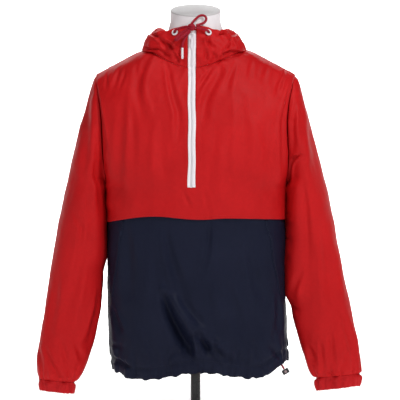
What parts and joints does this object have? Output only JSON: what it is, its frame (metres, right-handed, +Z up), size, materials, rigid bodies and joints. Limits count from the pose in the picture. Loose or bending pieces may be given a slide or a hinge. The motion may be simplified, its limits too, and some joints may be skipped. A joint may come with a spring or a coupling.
{
  "type": "anorak pullover on a dress form",
  "caption": "Half-zip hooded anorak in two colours, filled out on a limbless dress form with a round weighted stand.",
  "frame": {"origin": "middle of the stand's round base, on its underside, where it rests on the floor", "axes": "+Z up; the front of the garment faces -Y; +X is the wearer's left"},
  "size_m": [0.7302, 0.3171, 0.9215],
  "materials": {
    "red_cloth": "fine plain-weave polyester shell, soft sheen",
    "navy_cloth": "fine plain-weave polyester shell, soft sheen",
    "white_tape": "woven zip tape",
    "white_plastic": "moulded, slightly glossy",
    "red_cord": "braided cord",
    "black_plastic": "moulded, matt",
    "black_paint": "satin black",
    "form_white": "smooth matt white",
    "form_grey": "cloth-covered neck cap"
  },
  "bodies": {
    "garment_and_form": {"front_upper": "red_cloth", "back_upper": "red_cloth", "front_lower": "navy_cloth", "back_lower": "navy_cloth", "sleeve_left": "red_cloth", "sleeve_right": "red_cloth", "cuff_left": "red_cloth", "cuff_right": "red_cloth", "hood_left": "red_cloth", "hood_right": "red_cloth", "zip_tape_left": "white_tape", "zip_tape_right": "white_tape", "zip_chain": "white_plastic", "zip_slider": "white_plastic", "eyelet_left": "white_plastic", "eyelet_right": "white_plastic", "pocket_zip_left": "navy_cloth", "pocket_zip_right": "navy_cloth", "cord_knot": "red_cord", "cord_up_loop": "red_cord", "cord_down_loop": "red_cord", "cord_right_run": "red_cord", "cord_left_run": "red_cord", "cord_free_end": "red_cord", "aglet": "white_plastic", "hem_cord": "red_cord", "hem_cord_stopper": "black_plastic", "form_torso": "form_white", "form_neck_cap": "form_grey", "stand_pole": "black_paint", "stand_base": "black_paint", "stand_socket": "black_paint"},
    "zip_pull": {"zip_pull": "white_plastic"}
  },
  "joints": [
    {"name": "zip_pull_hinge", "type": "hinge", "parent": "garment_and_form", "child": "zip_pull", "pos_m": [-0.008, -0.0878, 0.8385], "axis": [-1, 0, 0], "range_deg": [0, 100]}
  ]
}
